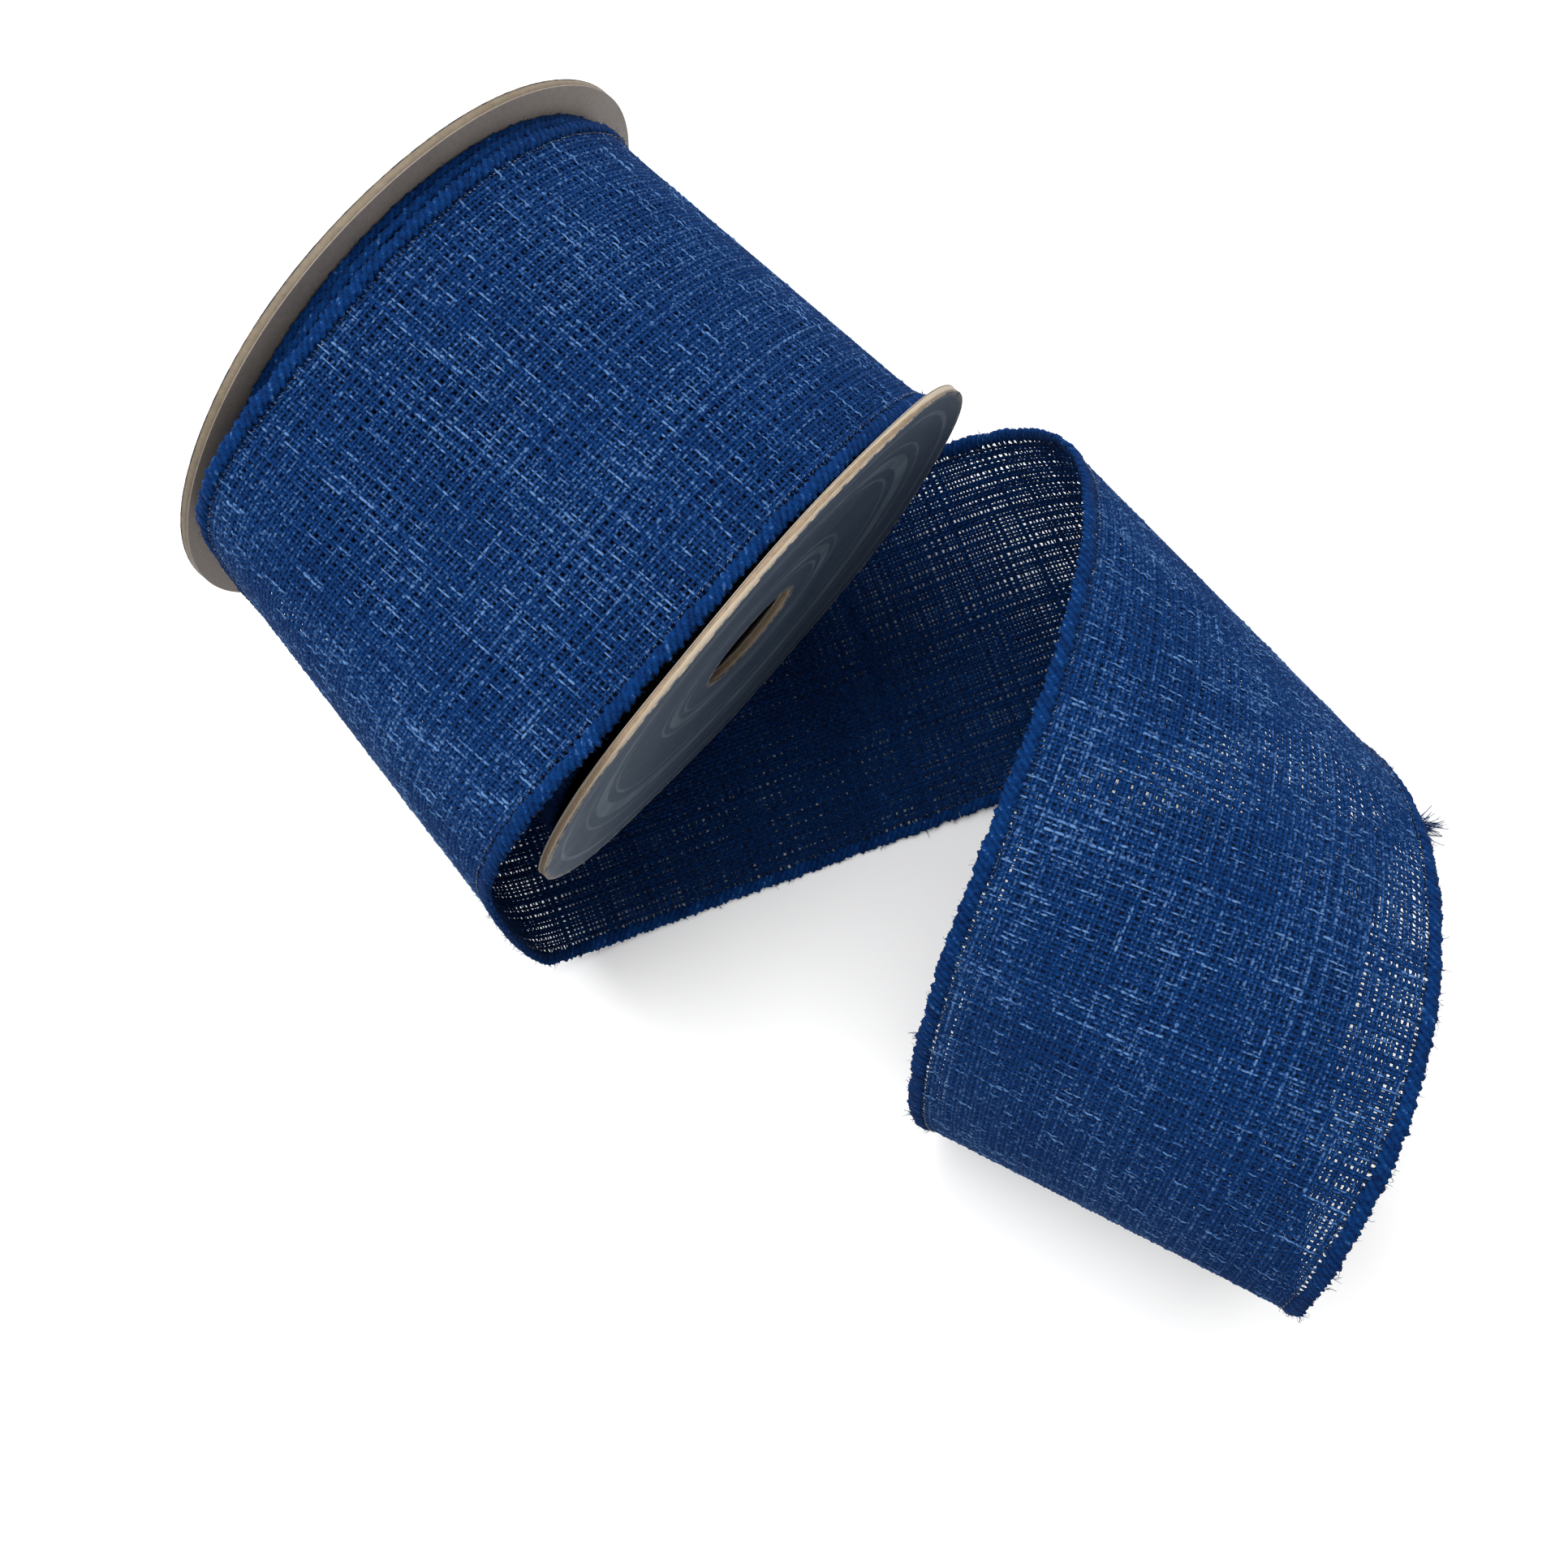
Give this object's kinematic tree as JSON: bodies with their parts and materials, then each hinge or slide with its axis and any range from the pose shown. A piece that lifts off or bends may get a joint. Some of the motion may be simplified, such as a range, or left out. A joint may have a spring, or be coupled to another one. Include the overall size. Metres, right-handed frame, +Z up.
{
  "type": "ribbon spool",
  "caption": "Cardboard spool wound with a wide wire-edged woven ribbon whose free end lies off the spool in a loose curl.",
  "frame": {"origin": "centre of the spindle bore, midway between the flanges", "axes": "+X along the spindle bore towards the printed front flange, +Z up; the spool lies on its flange rims and the free end lies towards +X"},
  "size_m": [0.1927, 0.1159, 0.0946],
  "materials": {
    "liner_paper": "matte taupe-grey liner paper",
    "printed_paper": "satin slate-blue printed paper",
    "greyboard": "raw brown board",
    "hot_glue": "set hot-melt glue",
    "tape": "clear starting tape",
    "edge_wire": "fine soft steel wire",
    "ribbon_cloth": "royal blue open plain weave",
    "edge_thread": "royal blue overlocked thread"
  },
  "bodies": {
    "free_end": {"wrap_cloth": "ribbon_cloth", "wrap_back_wire": "edge_wire", "wrap_front_wire": "edge_wire", "wrap_back_edge": "edge_thread", "wrap_front_edge": "edge_thread", "drop_cloth": "ribbon_cloth", "drop_back_wire": "edge_wire", "drop_front_wire": "edge_wire", "drop_back_edge": "edge_thread", "drop_front_edge": "edge_thread", "curl_cloth": "ribbon_cloth", "curl_back_wire": "edge_wire", "curl_front_wire": "edge_wire", "curl_back_edge": "edge_thread", "curl_front_edge": "edge_thread", "end_cloth": "ribbon_cloth", "end_back_wire": "edge_wire", "end_front_wire": "edge_wire", "end_back_edge": "edge_thread", "end_front_edge": "edge_thread"},
    "spool": {"front_liner_paper": "liner_paper", "front_flange_board": "greyboard", "front_face_paper": "printed_paper", "back_liner_paper": "liner_paper", "back_flange_board": "greyboard", "back_face_paper": "printed_paper", "core_tube": "greyboard", "front_glue_fillet": "hot_glue", "back_glue_fillet": "hot_glue", "start_tape": "tape", "wound_cloth": "ribbon_cloth", "wound_back_wire": "edge_wire", "wound_front_wire": "edge_wire", "wound_back_edge": "edge_thread", "wound_front_edge": "edge_thread"}
  },
  "joints": [
    {"name": "spool_turn", "type": "hinge", "parent": "free_end", "child": "spool", "pos_m": [0, 0, 0], "axis": [1, 0, 0], "range_deg": [-15, 20]}
  ]
}
